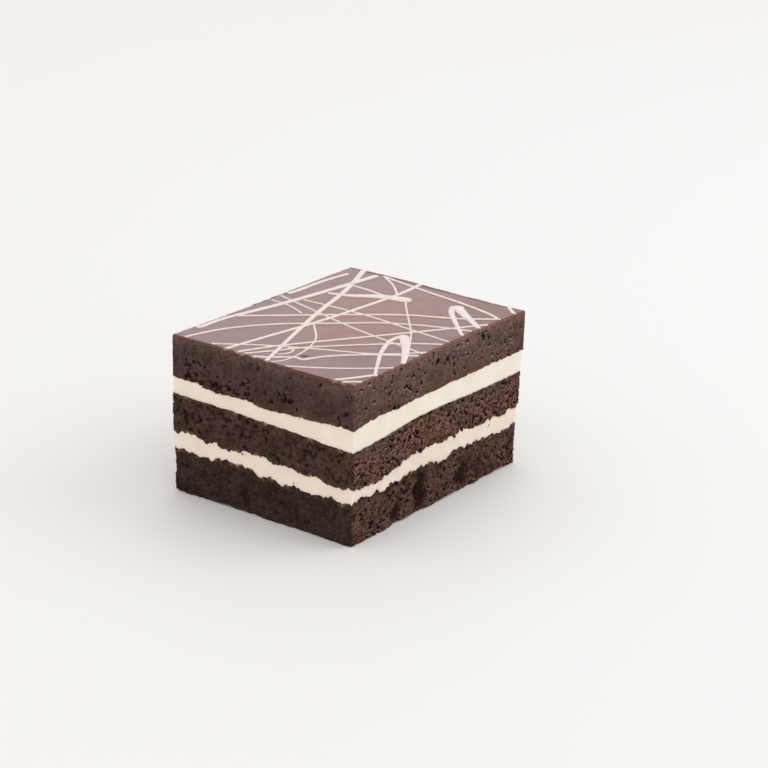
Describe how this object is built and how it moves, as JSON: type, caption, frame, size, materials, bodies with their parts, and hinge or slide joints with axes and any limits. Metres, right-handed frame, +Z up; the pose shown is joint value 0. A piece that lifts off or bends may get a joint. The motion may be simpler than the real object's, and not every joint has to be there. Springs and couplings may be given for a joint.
{
  "type": "chocolate ganache cake",
  "caption": "Square-cut chocolate layer cake: dark sponge layers with pale cream between them, a ganache top and white drizzle across it, flat underneath.",
  "frame": {"origin": "bottom centre of the cake, on the surface that it rests on", "axes": "+Z up, +Y along the longer side, +X across the shorter side; the -Y and +X faces are the ones that the picture shows"},
  "size_m": [0.0806, 0.1054, 0.0606],
  "materials": {
    "sponge": "dark chocolate crumb, matt",
    "cream": "smooth ivory cream, soft sheen",
    "ganache": "set chocolate ganache, satin gloss, with ivory drizzle"
  },
  "bodies": {
    "root": {"sponge_bottom": "sponge", "cream_lower": "cream", "sponge_middle": "sponge", "cream_upper": "cream", "sponge_top": "sponge", "ganache": "ganache"}
  },
  "joints": []
}
